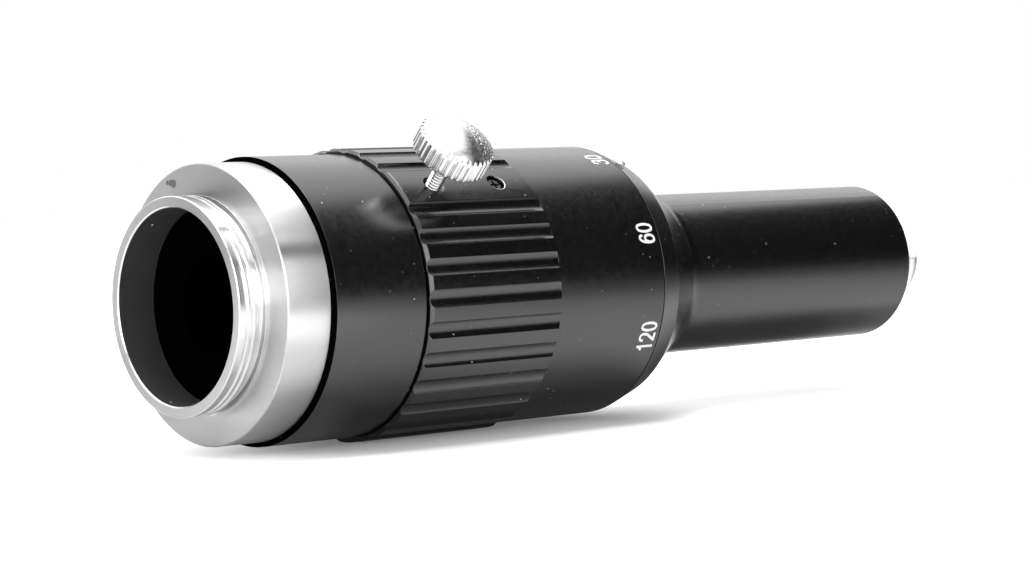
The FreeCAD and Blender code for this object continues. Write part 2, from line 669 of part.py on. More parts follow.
turned("scale_ring", [
    (GRIP_END, f"{HELICOID_RADIUS} + seat_clearance"), (GRIP_END, f"{SCALE_RADIUS} - scale_edge"),
    (f"{GRIP_END} + scale_edge", SCALE_RADIUS), (f"{SCALE_END} - scale_edge", SCALE_RADIUS),
    (SCALE_END, f"{SCALE_RADIUS} - scale_edge"), (SCALE_END, SCALE_BORE), (DRIVE_END, SCALE_BORE),
    (DRIVE_END, f"{HELICOID_RADIUS} + seat_clearance")])

ring_screw = turned("ring_screw", [
    (RING_SCREW_TIP, "0"), (RING_SCREW_TIP, "ring_screw_shank_radius"),
    (RING_SCREW_SEAT, "ring_screw_shank_radius"), (RING_SCREW_SEAT, "ring_screw_head_radius"),
    (f"{RING_SCREW_TOP} - ring_screw_edge", "ring_screw_head_radius"),
    (RING_SCREW_TOP, "ring_screw_head_radius - ring_screw_edge"), (RING_SCREW_TOP, "0")], upright=True)
turn_about_axis(ring_screw, "screw_angle")
place_along(ring_screw, f"({FLANGE} + ring_screw_station)")
slot = new_sketch(ring_screw, "cross", "XY_Plane", RING_SCREW_TOP)
rectangle_on(slot, "(-cross_span / 2)", "(cross_span / 2)", "cross_slot")
first_slot = cut(ring_screw, slot, "cross_slot_cut", "cross_depth")
pattern_round(ring_screw, first_slot, "2", "90")

# The lock: a soft pellet pressed on the bearing by a thumb screw.
lock_pellet = turned("lock_pellet", [
    (f"{LOCK_TIP} - pellet_length", "0"), (f"{LOCK_TIP} - pellet_length", "pellet_radius"),
    (LOCK_TIP, "pellet_radius"), (LOCK_TIP, "0")], upright=True)
thumb_screw = turned("thumb_screw", [
    (LOCK_TIP, "0"), (LOCK_TIP, "lock_shank_radius"), (HEAD_UNDERSIDE, "lock_shank_radius"),
    (HEAD_UNDERSIDE, "head_radius - head_edge"), (f"{HEAD_UNDERSIDE} + head_edge", "head_radius"),
    (f"{KNURL_TOP} - head_edge", "head_radius"), (KNURL_TOP, "head_radius - head_edge"),
    (f"{KNURL_TOP} + head_crown", "0", True)], upright=True)
for body in (lock_pellet, thumb_screw):
    turn_about_axis(body, "screw_angle")
    place_along(body, f"({FLANGE} + lock_station)")
groove = new_sketch(thumb_screw, "knurl", "XY_Plane")
wedge_on(groove, "head_radius - knurl_depth", "head_radius + knurl_depth", "2 * knurl_width")
first_groove = cut(thumb_screw, groove, "first_groove", reverse=True)
pattern_round(thumb_screw, first_groove, "knurl_count", "360")

# The front barrel, which slides on the core and carries the index pin.
front_barrel = turned("front_barrel", [
    (SLEEVE_START, f"{SLIDE_RADIUS} + running_clearance"),
    (SLEEVE_START, f"{DRIVE_RADIUS} - running_clearance"),
    (SHOULDER, f"{DRIVE_RADIUS} - running_clearance"),
    (SHOULDER, SCALE_RADIUS), (SHOULDER_END, f"{SCALE_RADIUS} - shoulder_drop"),
    (CONE_END, "tube_radius"), (f"{TUBE_END} - tube_edge", "tube_radius"),
    (TUBE_END, "tube_radius - tube_edge"), (TUBE_END, DOME_BORE), (DOME_SEAT, DOME_BORE),
    (DOME_SEAT, LENS_BORE), (STACK_START, LENS_BORE), (STACK_START, TUBE_BORE),
    (f"{SLEEVE_POCKET_END} + inner_cone_length", TUBE_BORE),
    (SLEEVE_POCKET_END, f"{SLIDE_RADIUS} + running_clearance")])
turn_about_axis(front_barrel, "index_angle")
round_edge(front_barrel, "lip", SHOULDER_END, f"{SCALE_RADIUS} - shoulder_drop", "shoulder_rounding")
round_edge(front_barrel, "blend", CONE_END, "tube_radius", "cone_blend")
slot = new_sketch(front_barrel, "key_slot", "XY_Plane")
rectangle_on(slot, SLEEVE_START, f"{KEY_END} + turning_gap", "key_width + 2 * key_side_clearance")
cut(front_barrel, slot, "key_slot_cut")
mark = new_sketch(front_barrel, "index_hole", "XY_Plane", INDEX_FLOOR)
circle_on(mark, f"{SHOULDER} + index_setback", "0", "index_radius + seat_clearance")
cut(front_barrel, mark, "index_hole_cut", reverse=True)

index_pin = turned("index_pin", [
    (INDEX_FLOOR, "0"), (INDEX_FLOOR, "index_radius"),
    (f"{INDEX_SURFACE} + index_standing", "index_radius"),
    (f"{INDEX_SURFACE} + index_standing + index_crown", "0", True)], upright=True)
turn_about_axis(index_pin, "index_angle")
place_along(index_pin, f"({SHOULDER} + index_setback)")

# The optics of the slim tube, from its stop to its dome.
turned("aperture_stop", [
    (STACK_START, "stop_aperture"), (STACK_START, TUBE_LENS_RADIUS), (STOP_END, TUBE_LENS_RADIUS),
    (STOP_END, "stop_aperture + stop_thickness"), (f"{STACK_START} + aperture_land", "stop_aperture")])
tube("stop_spacer", STOP_END, FLINT_START, TUBE_SPACER_BORE, TUBE_LENS_RADIUS)
element("flint_element", FLINT_START, FLINT_END, TUBE_LENS_RADIUS, "(-flint_hollow)", "(-pair_bulge)")
element("crown_element", CROWN_START, CROWN_END, TUBE_LENS_RADIUS, "pair_bulge", "crown_bulge")
tube("relay_spacer", CROWN_END, MENISCUS_START, TUBE_SPACER_BORE, TUBE_LENS_RADIUS)
element("meniscus_element", MENISCUS_START, MENISCUS_END, TUBE_LENS_RADIUS,
        "(-meniscus_hollow)", "meniscus_bulge")
tube("front_spacer", MENISCUS_END, DOME_SEAT, TUBE_SPACER_BORE, TUBE_LENS_RADIUS)
turned("dome_lens", [
    (DOME_SEAT, DOME_INNER_RADIUS), (DOME_SEAT, f"{DOME_BORE} - seat_clearance"),
    (DOME_FLANGE_END, f"{DOME_BORE} - seat_clearance"), (DOME_FLANGE_END, "dome_radius"),
    (DOME_CENTRE, "dome_radius"), (f"({DOME_CENTRE} + dome_radius)", "0", True),
    (f"({DOME_INNER_CENTRE} + {DOME_INNER_RADIUS})", "0"),
    (DOME_INNER_CENTRE, DOME_INNER_RADIUS, True)])
retainer("front_retainer", DOME_FLANGE_END, f"({TUBE_END} - retainer_recess)",
         "dome_radius + retainer_clearance", f"{DOME_BORE} - seat_clearance")

doc.recompute()
for thing in doc.Objects:
    if {"Invalid", "Error"} & set(thing.State):
        raise RuntimeError(f"{thing.Label} did not build")
os.makedirs("parts", exist_ok=True)
for body in pieces:
    if body.Shape.isNull() or not body.Shape.isValid():
        raise RuntimeError(f"{body.Label} has no sound shape")
    body.Shape.exportStep(f"parts/{body.Label}.step")
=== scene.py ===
import math

import bpy
from mathutils import Matrix, Vector


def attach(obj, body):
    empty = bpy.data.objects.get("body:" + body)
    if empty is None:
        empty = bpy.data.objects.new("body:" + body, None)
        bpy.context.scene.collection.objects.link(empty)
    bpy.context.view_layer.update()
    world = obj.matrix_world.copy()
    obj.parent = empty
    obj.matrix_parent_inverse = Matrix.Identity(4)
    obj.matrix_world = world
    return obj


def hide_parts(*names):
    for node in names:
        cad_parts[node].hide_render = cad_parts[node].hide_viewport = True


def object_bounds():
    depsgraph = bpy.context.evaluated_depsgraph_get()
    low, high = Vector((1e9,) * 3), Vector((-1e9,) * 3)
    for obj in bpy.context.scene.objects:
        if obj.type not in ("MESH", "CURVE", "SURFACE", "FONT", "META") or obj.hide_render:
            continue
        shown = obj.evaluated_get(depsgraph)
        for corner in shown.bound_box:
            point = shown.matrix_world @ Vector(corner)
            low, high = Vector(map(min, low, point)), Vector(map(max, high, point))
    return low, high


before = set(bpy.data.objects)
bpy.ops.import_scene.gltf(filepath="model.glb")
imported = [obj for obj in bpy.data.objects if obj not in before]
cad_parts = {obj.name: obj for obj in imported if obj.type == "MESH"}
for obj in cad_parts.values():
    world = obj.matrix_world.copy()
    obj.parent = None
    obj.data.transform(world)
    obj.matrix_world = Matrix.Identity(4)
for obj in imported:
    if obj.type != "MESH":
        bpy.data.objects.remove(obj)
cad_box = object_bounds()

MM = 0.001
TURN = 2 * math.pi
NOSE = 4.0                 # the nose face lies this many millimetres behind the flange, at X = 0


class Nodes:
    """A node tree, with short calls for the nodes used here."""

    def __init__(self, tree):
        self.tree = tree
        self.tree.nodes.clear()

    def add(self, kind, **settings):
        node = self.tree.nodes.new(kind)
        for key, value in settings.items():
            setattr(node, key, value)
        return node

    def link(self, source, target):
        self.tree.links.new(source, target)

    def put(self, value, socket):
        """Set a socket to a value, or link it where the value is another node's output."""
        if isinstance(value, bpy.types.NodeSocket):
            self.link(value, socket)
        else:
            socket.default_value = value

    def fill(self, node, **inputs):
        for key, value in inputs.items():
            self.put(value, node.inputs[key.replace("_", " ")])
        return node

    def math(self, operation, first, second=0.0):
        node = self.add("ShaderNodeMath", operation=operation)
        self.put(first, node.inputs[0])
        self.put(second, node.inputs[1])
        return node.outputs[0]

    def product(self, first, *others):
        for other in others:
            first = self.math("MULTIPLY", first, other)
        return first

    def length(self, first, second):
        """The length of a line with these two sides."""
        squares = self.math("ADD", self.product(first, first), self.product(second, second))
        return self.math("SQRT", squares)

    def span(self, value, low, high, to_low=0.0, to_high=1.0):
        """A smooth step between two levels, as the value goes from low to high."""
        node = self.add("ShaderNodeMapRange", interpolation_type="SMOOTHSTEP")
        self.fill(node, Value=value, From_Min=low, From_Max=high, To_Min=to_low, To_Max=to_high)
        return node.outputs["Result"]

    def dimmed(self, level, mask, to):
        """The level, taken to another one where the mask is 1."""
        kept = self.product(level, self.math("SUBTRACT", 1.0, mask))
        return self.math("ADD", kept, self.product(mask, to))

    def parts(self, vector):
        split = self.fill(self.add("ShaderNodeSeparateXYZ"), Vector=vector)
        return [split.outputs[axis] for axis in "XYZ"]


class Finish(Nodes):
    """A material made of nodes. Noise scales are per metre."""

    def __init__(self, name):
        self.material = bpy.data.materials.new(name)
        self.material.use_nodes = True
        super().__init__(self.material.node_tree)
        self.out = self.add("ShaderNodeOutputMaterial")
        self.place = self.add("ShaderNodeTexCoord").outputs["Object"]

    def shader(self, **inputs):
        node = self.fill(self.add("ShaderNodeBsdfPrincipled"), **inputs)
        self.link(node.outputs["BSDF"], self.out.inputs["Surface"])
        return node

    def noise(self, scale, detail, roughness=0.5, place=None):
        node = self.add("ShaderNodeTexNoise")
        self.fill(node, Vector=place or self.place, Scale=scale, Detail=detail, Roughness=roughness)
        return node.outputs["Fac"]

    def cloud(self, scale):
        return self.noise(scale, 3.0)

    def grain(self, scale, roughness=0.5):
        return self.noise(scale, 2.0, roughness)

    def blend(self, factor, first, second):
        node = self.add("ShaderNodeMix", data_type="RGBA")
        self.put(factor, node.inputs[0])
        self.put(first, node.inputs[6])
        self.put(second, node.inputs[7])
        return node.outputs[2]

    def edges(self, radius):
        """Normals that round off hard edges, so that they catch the light."""
        node = self.add("ShaderNodeBevel", samples=6)
        node.inputs["Radius"].default_value = radius
        return node.outputs["Normal"]

    def bump(self, height, strength, distance, normal=None):
        node = self.add("ShaderNodeBump")
        self.fill(node, Height=height, Strength=strength, Distance=distance)
        if normal is not None:
            self.link(normal, node.inputs["Normal"])
        return node.outputs["Normal"]

    def near(self, spot, radius):
        """1 close to a place, and 0 beyond a radius of it."""
        gap = self.fill(self.add("ShaderNodeVectorMath", operation="DISTANCE"), Vector=self.place)
        gap.inputs[1].default_value = spot
        return self.span(gap.outputs["Value"], radius, radius * 0.6)

    def apart(self):
        """Object coordinates, and the distance from the optical axis."""
        x, y, z = self.parts(self.place)
        return x, y, z, self.length(y, z)

    def rings(self, along, pitch):
        """Fine turning marks, as noise that changes only along one value."""
        line = self.add("ShaderNodeCombineXYZ")
        self.link(self.product(along, 1 / pitch), line.inputs["X"])
        return self.noise(1.0, 3.0, 0.6, line.outputs[0])

    def specks(self, cell, size, share):
        """Sparse grains: 1 on a grain and 0 elsewhere. A share of the cells hold one."""
        cells = self.fill(self.add("ShaderNodeTexVoronoi"), Vector=self.place, Scale=1 / cell)
        near = self.math("LESS_THAN", cells.outputs["Distance"], size / cell)
        pick = self.fill(self.add("ShaderNodeSeparateColor"), Color=cells.outputs["Color"])
        return self.product(near, self.math("LESS_THAN", pick.outputs[0], share))


# Materials

# Grains of dust on black: the size of a cell, the grain's radius, the share of cells, the grey
DUST = [(1.0, 0.05, 0.45, 0.35), (1.9, 0.08, 0.35, 0.7)]
EDGE_ROUNDING = 0.13
TURNING_PITCH = 0.05
# Darker spots on the flange, and painted highlights in the throat: a place and a radius, in millimetres
FLANGE_DARK_SPOTS = [((0.0, 4.75, 14.1), 0.62), ((0.0, 5.35, 14.2), 0.50), ((0.0, 6.0, 14.25), 0.36)]
THROAT_PAINTED_GLINTS = [((-2.1, 6.4, 9.4), 0.17), ((-2.9, 3.0, -11.0), 0.17)]
# Where the rear housing's painted dark edge ends (its reflection is switched off there, as painted
# shade), and where over the thumb screw's crown its dents fade in, both along from the flange
HOUSING_SHADED_EDGE_ENDS = 6.42
DENTS = (25.4, 27.6)


def grey(level):
    return (level, level, level, 1.0)


def in_metres(spot):
    return tuple(part * MM for part in spot)


def black_anodised(name, roughness=0.24, shaded_edge_ends=None):
    """Black anodised aluminium with a few grains of dust. Up to a given place along the axis its
    reflection is switched off: painted shade that makes a dark edge."""
    n = Finish(name)
    base = 0.0012
    colour = n.blend(n.cloud(60.0), grey(base * 0.75), (base * 1.25, base * 1.25, base * 1.4, 1.0))
    for cell, size, share, level in DUST:
        colour = n.blend(n.specks(cell * MM, size * MM, share), colour, grey(level))
    shader = n.shader(Base_Color=colour, IOR=1.77,
                      Roughness=n.span(n.cloud(1500.0), 0.25, 0.75, roughness - 0.03, roughness + 0.03),
                      Normal=n.bump(n.grain(9000.0, 0.6), 0.35, 0.010 * MM, n.edges(EDGE_ROUNDING * MM)))
    if shaded_edge_ends is not None:
        x, y, z, out = n.apart()
        # Painted shade: the reflection is switched off behind the given place, for a dark edge
        n.fill(shader, Specular_IOR_Level=n.span(x, (shaded_edge_ends - 0.02) * MM, shaded_edge_ends * MM, 0.0, 0.5))
    return n.material


def turned_plate(name, base, roughness, grain_along, dark_spots=()):
    """Satin plated metal with fine turning marks round the axis."""
    n = Finish(name)
    x, y, z, out = n.apart()
    ridges = n.rings(n.math("ADD", x, out), TURNING_PITCH * MM)
    colour = n.blend(n.span(n.cloud(140.0), 0.35, 0.65), grey(base * 0.93),
                     (base, base, base * 1.01, 1.0))
    # The colour is darker in small spots at the given places
    for spot, radius in dark_spots:
        colour = n.blend(n.near(in_metres(spot), radius * MM), colour, grey(base * 0.38))
    tangent = n.add("ShaderNodeTangent", direction_type="RADIAL", axis="X")
    n.shader(Base_Color=colour, Metallic=1.0, Anisotropic=grain_along, Anisotropic_Rotation=0.25,
             Roughness=n.span(ridges, 0.3, 0.7, roughness - 0.04, roughness + 0.05),
             Tangent=tangent.outputs[0], Normal=n.bump(ridges, 0.25, 0.006 * MM))
    return n.material


def polished_plate(name, base, roughness=0.12, dents=None):
    """Polished plated metal. Dents fade in between two places along the optical axis."""
    n = Finish(name)
    if dents:
        x, y, z, out = n.apart()
        height = n.product(n.noise(1900.0, 3.0, 0.6), n.span(x, dents[0] * MM, dents[1] * MM))
        normal = n.bump(height, 1.0, 0.34 * MM)
    else:
        normal = n.bump(n.grain(1500.0), 0.15, 0.01 * MM)
    n.shader(Base_Color=n.blend(n.cloud(900.0), grey(base * 0.9), grey(base)), Metallic=1.0,
             Roughness=n.span(n.cloud(2500.0), 0.3, 0.7, roughness, roughness + 0.08), Normal=normal)
    return n.material


def matt_black(name, base=0.02, roughness=0.55, painted_glints=()):
    n = Finish(name)
    colour = n.blend(n.cloud(300.0), grey(base * 0.6), grey(base))
    # Painted highlights: near-white spots that stand in for small glints in the throat
    for spot, radius in painted_glints:
        colour = n.blend(n.near(in_metres(spot), radius * MM), colour, grey(0.9))
    n.shader(Base_Color=colour, Roughness=roughness, Normal=n.bump(n.grain(6000.0), 0.4, 0.02 * MM))
    return n.material


def dead_black(name):
    """A light trap's paint, which reflects next to nothing."""
    n = Finish(name)
    n.shader(Base_Color=n.blend(n.cloud(300.0), grey(0.0005), grey(0.0012)), Roughness=0.9,
             Specular_IOR_Level=0.0)
    return n.material


def plain_metal(name, colour, roughness):
    n = Finish(name)
    darker = tuple(part * 0.82 for part in colour) + (1.0,)
    n.shader(Base_Color=n.blend(n.cloud(400.0), darker, colour + (1.0,)), Metallic=1.0,
             Roughness=n.span(n.cloud(1800.0), 0.3, 0.7, roughness - 0.05, roughness + 0.08),
             Normal=n.bump(n.grain(5000.0), 0.2, 0.008 * MM))
    return n.material


def nylon(name):
    n = Finish(name)
    n.shader(Base_Color=n.blend(n.cloud(500.0), grey(0.62), grey(0.75)), Roughness=0.5,
             Subsurface_Weight=0.1, Subsurface_Radius=(MM, MM, MM),
             Normal=n.bump(n.grain(5000.0), 0.2, 0.01 * MM))
    return n.material


def coated_glass(name, gloss=0.5):
    n = Finish(name)
    tint = n.blend(n.grain(90.0), (0.96, 0.98, 1.0, 1.0), (1.0, 1.0, 0.99, 1.0))
    n.shader(Base_Color=tint, Roughness=0.02, IOR=1.52, Transmission_Weight=1.0,
             Specular_IOR_Level=gloss)
    return n.material


def white_print(name):
    n = Finish(name)
    n.shader(Base_Color=n.blend(n.cloud(2500.0), grey(0.80), grey(0.90)), Roughness=0.45,
             Normal=n.bump(n.grain(9000.0), 0.2, 0.005 * MM))
    return n.material


# Each material's maker, its settings and the modelled nodes that wear it
FINISHES = {
    "bright_mount": (turned_plate, dict(base=0.60, roughness=0.32, grain_along=0.93,
                                        dark_spots=FLANGE_DARK_SPOTS), []),
    "bright_thread": (turned_plate, dict(base=0.74, roughness=0.24, grain_along=0.6), []),
    "black_housing": (black_anodised, dict(shaded_edge_ends=HOUSING_SHADED_EDGE_ENDS), ["rear_housing"]),
    "black_anodised": (black_anodised, {}, ["scale_ring", "front_barrel", "front_retainer"]),
    "black_grip": (black_anodised, dict(roughness=0.22), ["grip_ring"]),
    "matt_black": (matt_black, {}, ["ring_retainer", "aperture_stop", "stop_spacer", "relay_spacer",
                                    "front_spacer"]),
    "throat_black": (matt_black, dict(base=0.05, roughness=0.42, painted_glints=THROAT_PAINTED_GLINTS), []),
    "dead_black": (dead_black, {}, ["core_barrel", "rear_baffle", "rear_cell", "rear_spacer",
                                    "rear_retainer"]),
    "bronze": (plain_metal, dict(colour=(0.55, 0.36, 0.18), roughness=0.3),
               ["helicoid_ring", "rear_glide_washer", "front_glide_washer", "guide_key"]),
    "steel": (plain_metal, dict(colour=(0.50, 0.50, 0.51), roughness=0.28), ["key_screws"]),
    "dark_steel": (plain_metal, dict(colour=(0.10, 0.10, 0.10), roughness=0.3), ["ring_screw"]),
    "screw_plate": (polished_plate, dict(base=0.80), []),
    "screw_crown": (polished_plate, dict(base=0.58, roughness=0.25, dents=DENTS), []),
    "satin_pin": (plain_metal, dict(colour=(0.6, 0.6, 0.6), roughness=0.4), ["index_pin"]),
    "nylon": (nylon, {}, ["lock_pellet"]),
    "glass": (coated_glass, {}, ["dome_lens"]),
    "inner_glass": (coated_glass, dict(gloss=0.05), ["rear_lens", "inner_lens", "flint_element",
                                                     "crown_element", "meniscus_element"]),
    "print": (white_print, {}, []),
}

MATERIALS = {}
for name, (maker, settings, nodes) in FINISHES.items():
    MATERIALS[name] = maker(name, **settings)
    for node in nodes:
        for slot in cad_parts[node].material_slots:
            slot.material = MATERIALS[name]


# Mesh helpers. A face is its corners and, last, the number of its material.

def new_piece(name, points, faces, materials, body, smooth_angle=30.0):
    """A mesh piece, in metres, that rides on a body."""
    mesh = bpy.data.meshes.new(name)
    mesh.from_pydata(points, [], [face[:-1] for face in faces])
    for material in materials:
        mesh.materials.append(MATERIALS[material])
    for polygon, face in zip(mesh.polygons, faces):
        polygon.material_index = face[-1]
        polygon.use_smooth = True
    mesh.update()
    mesh.set_sharp_from_angle(angle=math.radians(smooth_angle))
    piece = bpy.data.objects.new(name, mesh)
    bpy.context.scene.collection.objects.link(piece)
    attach(piece, body)
    return piece


def turned_point(along, out, angle):
    """A point in metres, from millimetres along from the nose face and out from the optical axis.
    The angle is from the top towards the side at -Y."""
    return ((along - NOSE) * MM, -math.sin(angle) * out * MM, math.cos(angle) * out * MM)


def soften(corners, steps=3):
    """A closed section as a list of points, with each rounded corner replaced by a short curve.
    A corner is its place along, its distance out, its rounding and the material of the edge after it."""
    points = []
    count = len(corners)
    for index, (along, out, rounding, part) in enumerate(corners):
        here = Vector((along, out))
        if not rounding:
            points.append((along, out, part))
            continue
        before = Vector(corners[index - 1][:2])
        after = Vector(corners[(index + 1) % count][:2])
        start = here + (before - here).normalized() * rounding
        end = here + (after - here).normalized() * rounding
        before_part = corners[index - 1][3]
        for step in range(steps + 1):
            t = step / steps
            spot = (1 - t) ** 2 * start + 2 * t * (1 - t) * here + t ** 2 * end
            points.append((spot.x, spot.y, part if step == steps else before_part))
    return points


# Mount ring, turned from one section, with the thread cut into its nose

RING_STEPS = 288
PITCH = 25.4 / 32
CREST = 12.7
THREAD_FROM = 0.7
THREAD_TO = 2.7
THREAD_ROWS = 64
THREAD_START = math.radians(47.0)     # from the top towards -Y
RUN_IN = math.radians(2.5)     # the groove reaches its full depth over this angle
FIRST_GROOVE = 0.98
GROOVES = 3
GROOVE_DEPTH = 0.30
GROOVE_HALF = 0.22
NOTCH_DEPTH = 0.24
NOTCH_HALF = math.radians(1.4)
NOSE_CHAMFER = 0.12
RELIEF = 12.05
RELIEF_END = 3.6
BAND = 16.35
BAND_CHAMFER = 0.14
BAND_END = 10.0
SPIGOT = 15.0
SPIGOT_END = 18.0
SPIGOT_BORE = 13.4
LEDGE_BORE = 10.6
LEDGE_FROM = 6.2
LEDGE_TO = 10.4
THROAT = 11.4
THROAT_CHAMFER = 0.15

# The numbers of the mount ring's materials
PLATE = 0
THROAT_PAINT = 1
THREAD_METAL = 2
TRAP_PAINT = 3


def thread_reach(along, angle, out):
    """The distance out on the threaded nose. The groove runs round as a right hand screw, and a
    notch crosses the crests where it starts."""
    if not THREAD_FROM <= along <= THREAD_TO or out < CREST - 0.01:
        return out
    from_start = (angle - THREAD_START) % TURN
    depth = 0.0
    for groove in range(GROOVES):
        centre = FIRST_GROOVE + PITCH * from_start / TURN + groove * PITCH
        cut = GROOVE_DEPTH * max(0.0, 1 - abs(along - centre) / GROOVE_HALF)
        if groove == 0:
            cut *= min(1.0, from_start / RUN_IN)
        depth = max(depth, cut)
    notch = NOTCH_DEPTH * (1 - min(from_start, TURN - from_start) / NOTCH_HALF)
    return out - max(depth, notch)


def mount_section():
    """The ring's section from the throat's edge out over the thread, along the band and spigot, and
    back through the bore."""
    first = (0.0, THROAT + THROAT_CHAMFER, 0.0, PLATE)
    crest_starts = (NOSE_CHAMFER, CREST, 0.0, THREAD_METAL)
    nose = [first, (0.0, CREST - NOSE_CHAMFER, 0.0, THREAD_METAL), crest_starts]
    rest = [
        (THREAD_TO, RELIEF, 0.10, THREAD_METAL), (RELIEF_END, RELIEF, 0.10, THREAD_METAL),
        (RELIEF_END, CREST, 0.06, THREAD_METAL), (NOSE, CREST, 0.0, PLATE),
        (NOSE, BAND - BAND_CHAMFER, 0.0, PLATE), (NOSE + BAND_CHAMFER, BAND, 0.03, PLATE),
        (BAND_END, BAND, 0.10, PLATE), (BAND_END, SPIGOT, 0.0, PLATE),
        (SPIGOT_END, SPIGOT, 0.0, PLATE), (SPIGOT_END, SPIGOT_BORE, 0.0, PLATE),
        (LEDGE_TO, SPIGOT_BORE, 0.0, TRAP_PAINT), (LEDGE_TO, LEDGE_BORE, 0.0, TRAP_PAINT),
        (LEDGE_FROM, LEDGE_BORE, 0.0, TRAP_PAINT), (LEDGE_FROM, THROAT, 0.0, THROAT_PAINT),
        (THROAT_CHAMFER, THROAT, 0.0, THREAD_METAL)]
    thread = [(THREAD_FROM + (THREAD_TO - THREAD_FROM) * row / THREAD_ROWS, CREST, THREAD_METAL)
              for row in range(THREAD_ROWS + 1)]
    return soften(nose) + thread + soften([crest_starts] + rest + [first])[1:-1]


def mount_ring():
    section = mount_section()
    points = []
    for along, out, part in section:
        for step in range(RING_STEPS):
            angle = TURN * step / RING_STEPS
            points.append(turned_point(along, thread_reach(along, angle, out), angle))
    faces = []
    for row, (along, out, part) in enumerate(section):
        here = row * RING_STEPS
        following = (row + 1) % len(section) * RING_STEPS
        for step in range(RING_STEPS):
            ahead = (step + 1) % RING_STEPS
            faces.append((here + step, here + ahead, following + ahead, following + step, part))
    piece = new_piece("mount_ring_turned", points, faces,
                      ["bright_mount", "throat_black", "bright_thread", "dead_black"],
                      "housing")
    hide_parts("mount_ring")


mount_ring()


# Thumb screw, on an axis of its own, which leans from the top towards the side at -Y

SCREW_X = 25.25            # along from the flange
SCREW_TILT = math.radians(43.0)
screw_up = Vector((0.0, -math.sin(SCREW_TILT), math.cos(SCREW_TILT)))
screw_right = Vector((1.0, 0.0, 0.0))
screw_side = screw_up.cross(screw_right)
RIDGES = 36
RIDGE_STEPS = 10
RIDGE_CUT = 0.24
HEAD_RADIUS = 4.6
UNDERSIDE = 21.75          # heights are from the optical axis
KNURL_BASE = 0.3
KNURL_ROWS = 4
KNURL_TOP = 24.48
CROWN = 1.62
CROWN_ROWS = 26
KNURL_FADE = 0.3           # the knurl's cut runs out over this much of the crown
SHANK = 0.95
SHANK_ROOT = 0.68
SHANK_END = 16.4
SHANK_PITCH = 0.4
TURN_ROWS = 8
SHANK_STEPS = 40
ROOT_SHARE = 0.12
FLANK_SHARE = 0.72

# The numbers of the screw's materials
PLATED = 0
DENTED = 1


def screw_point(height, out, angle):
    spot = Vector((SCREW_X, 0.0, 0.0)) + screw_up * height
    spot += (screw_right * math.cos(angle) + screw_side * math.sin(angle)) * out
    return tuple(spot * MM)


def ridge_depth(angle):
    """How far the knurl cuts in at an angle: narrow rounded grooves between flat ridges."""
    turn = (angle * RIDGES / TURN) % 1.0
    near = abs(turn - 0.5) / 0.5
    return RIDGE_CUT * max(0.0, 1 - (near / 0.5) ** 2)


def head_rows():
    """The head from its underside up over the knurl to the crown. A row is its height, its
    distance out, how much of the knurl's cut it has and its material."""
    rows = [(UNDERSIDE, SHANK * 0.98, 0.0, PLATED), (UNDERSIDE, HEAD_RADIUS - 0.55, 0.0, PLATED),
            (UNDERSIDE + 0.06, HEAD_RADIUS - 0.22, 0.35, PLATED),
            (UNDERSIDE + 0.22, HEAD_RADIUS - 0.02, 1.0, PLATED)]
    knurl_from = UNDERSIDE + KNURL_BASE
    for level in range(KNURL_ROWS + 1):
        height = knurl_from + (KNURL_TOP - knurl_from) * level / KNURL_ROWS
        rows.append((height, HEAD_RADIUS, 1.0, PLATED))
    ball = (HEAD_RADIUS ** 2 + CROWN ** 2) / (2 * CROWN)
    for level in range(1, CROWN_ROWS):
        out = HEAD_RADIUS * (1 - level / CROWN_ROWS)
        rise = math.sqrt(ball ** 2 - out ** 2) - (ball - CROWN)
        rows.append((KNURL_TOP + rise, out, max(0.0, 1 - (HEAD_RADIUS - out) / KNURL_FADE), DENTED))
    return rows


def screw_head(points, faces):
    around = RIDGES * RIDGE_STEPS
    rows = head_rows()
    for height, out, knurl, part in rows:
        for step in range(around):
            angle = TURN * step / around
            points.append(screw_point(height, out - knurl * ridge_depth(angle), angle))
    for row in range(len(rows) - 1):
        lower, upper = row * around, (row + 1) * around
        for step in range(around):
            ahead = (step + 1) % around
            faces.append((lower + step, upper + step, upper + ahead, lower + ahead, rows[row + 1][3]))
    last = (len(rows) - 1) * around
    top = len(points)
    points.append(screw_point(KNURL_TOP + CROWN, 0.0, 0.0))
    for step in range(around):
        faces.append((last + step, top, last + (step + 1) % around, DENTED))


def screw_shank(points, faces):
    """The shank's rows of points follow its thread, so each row climbs one pitch in a turn."""
    rows = TURN_ROWS * math.ceil((UNDERSIDE - SHANK_END) / SHANK_PITCH + 1)
    start = len(points)
    end = start + (rows + 1) * SHANK_STEPS
    for row in range(rows + 1):
        phase = (row % TURN_ROWS) / TURN_ROWS
        crest = min(1.0, max(0.0, (abs(phase - 0.5) * 2 - ROOT_SHARE) / FLANK_SHARE))
        for step in range(SHANK_STEPS):
            height = SHANK_END + SHANK_PITCH * (row / TURN_ROWS + step / SHANK_STEPS)
            out = SHANK_ROOT + (SHANK - SHANK_ROOT) * crest
            points.append(screw_point(height, out, TURN * step / SHANK_STEPS))
    points.append(screw_point(SHANK_END, 0.0, 0.0))

    def on_shank(row, step):
        if step == SHANK_STEPS:
            row, step = row + TURN_ROWS, 0
        return start + row * SHANK_STEPS + step

    for row in range(rows):
        for step in range(SHANK_STEPS):
            corners = (on_shank(row, step), on_shank(row + 1, step),
                       on_shank(row + 1, step + 1), on_shank(row, step + 1))
            if max(corners) < end:
                faces.append(corners + (PLATED,))
    for step in range(SHANK_STEPS):
        faces.append((on_shank(0, step), on_shank(0, step + 1), end, PLATED))
    for row in range(TURN_ROWS):
        faces.append((on_shank(row + 1, 0), on_shank(row, 0), end, PLATED))


def thumb_screw():
    points = []
    faces = []
    screw_head(points, faces)
    screw_shank(points, faces)
    piece = new_piece("thumb_screw_knurled", points, faces, ["screw_plate", "screw_crown"],
                      "lock_screw", smooth_angle=28.0)
    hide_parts("thumb_screw")


thumb_screw()
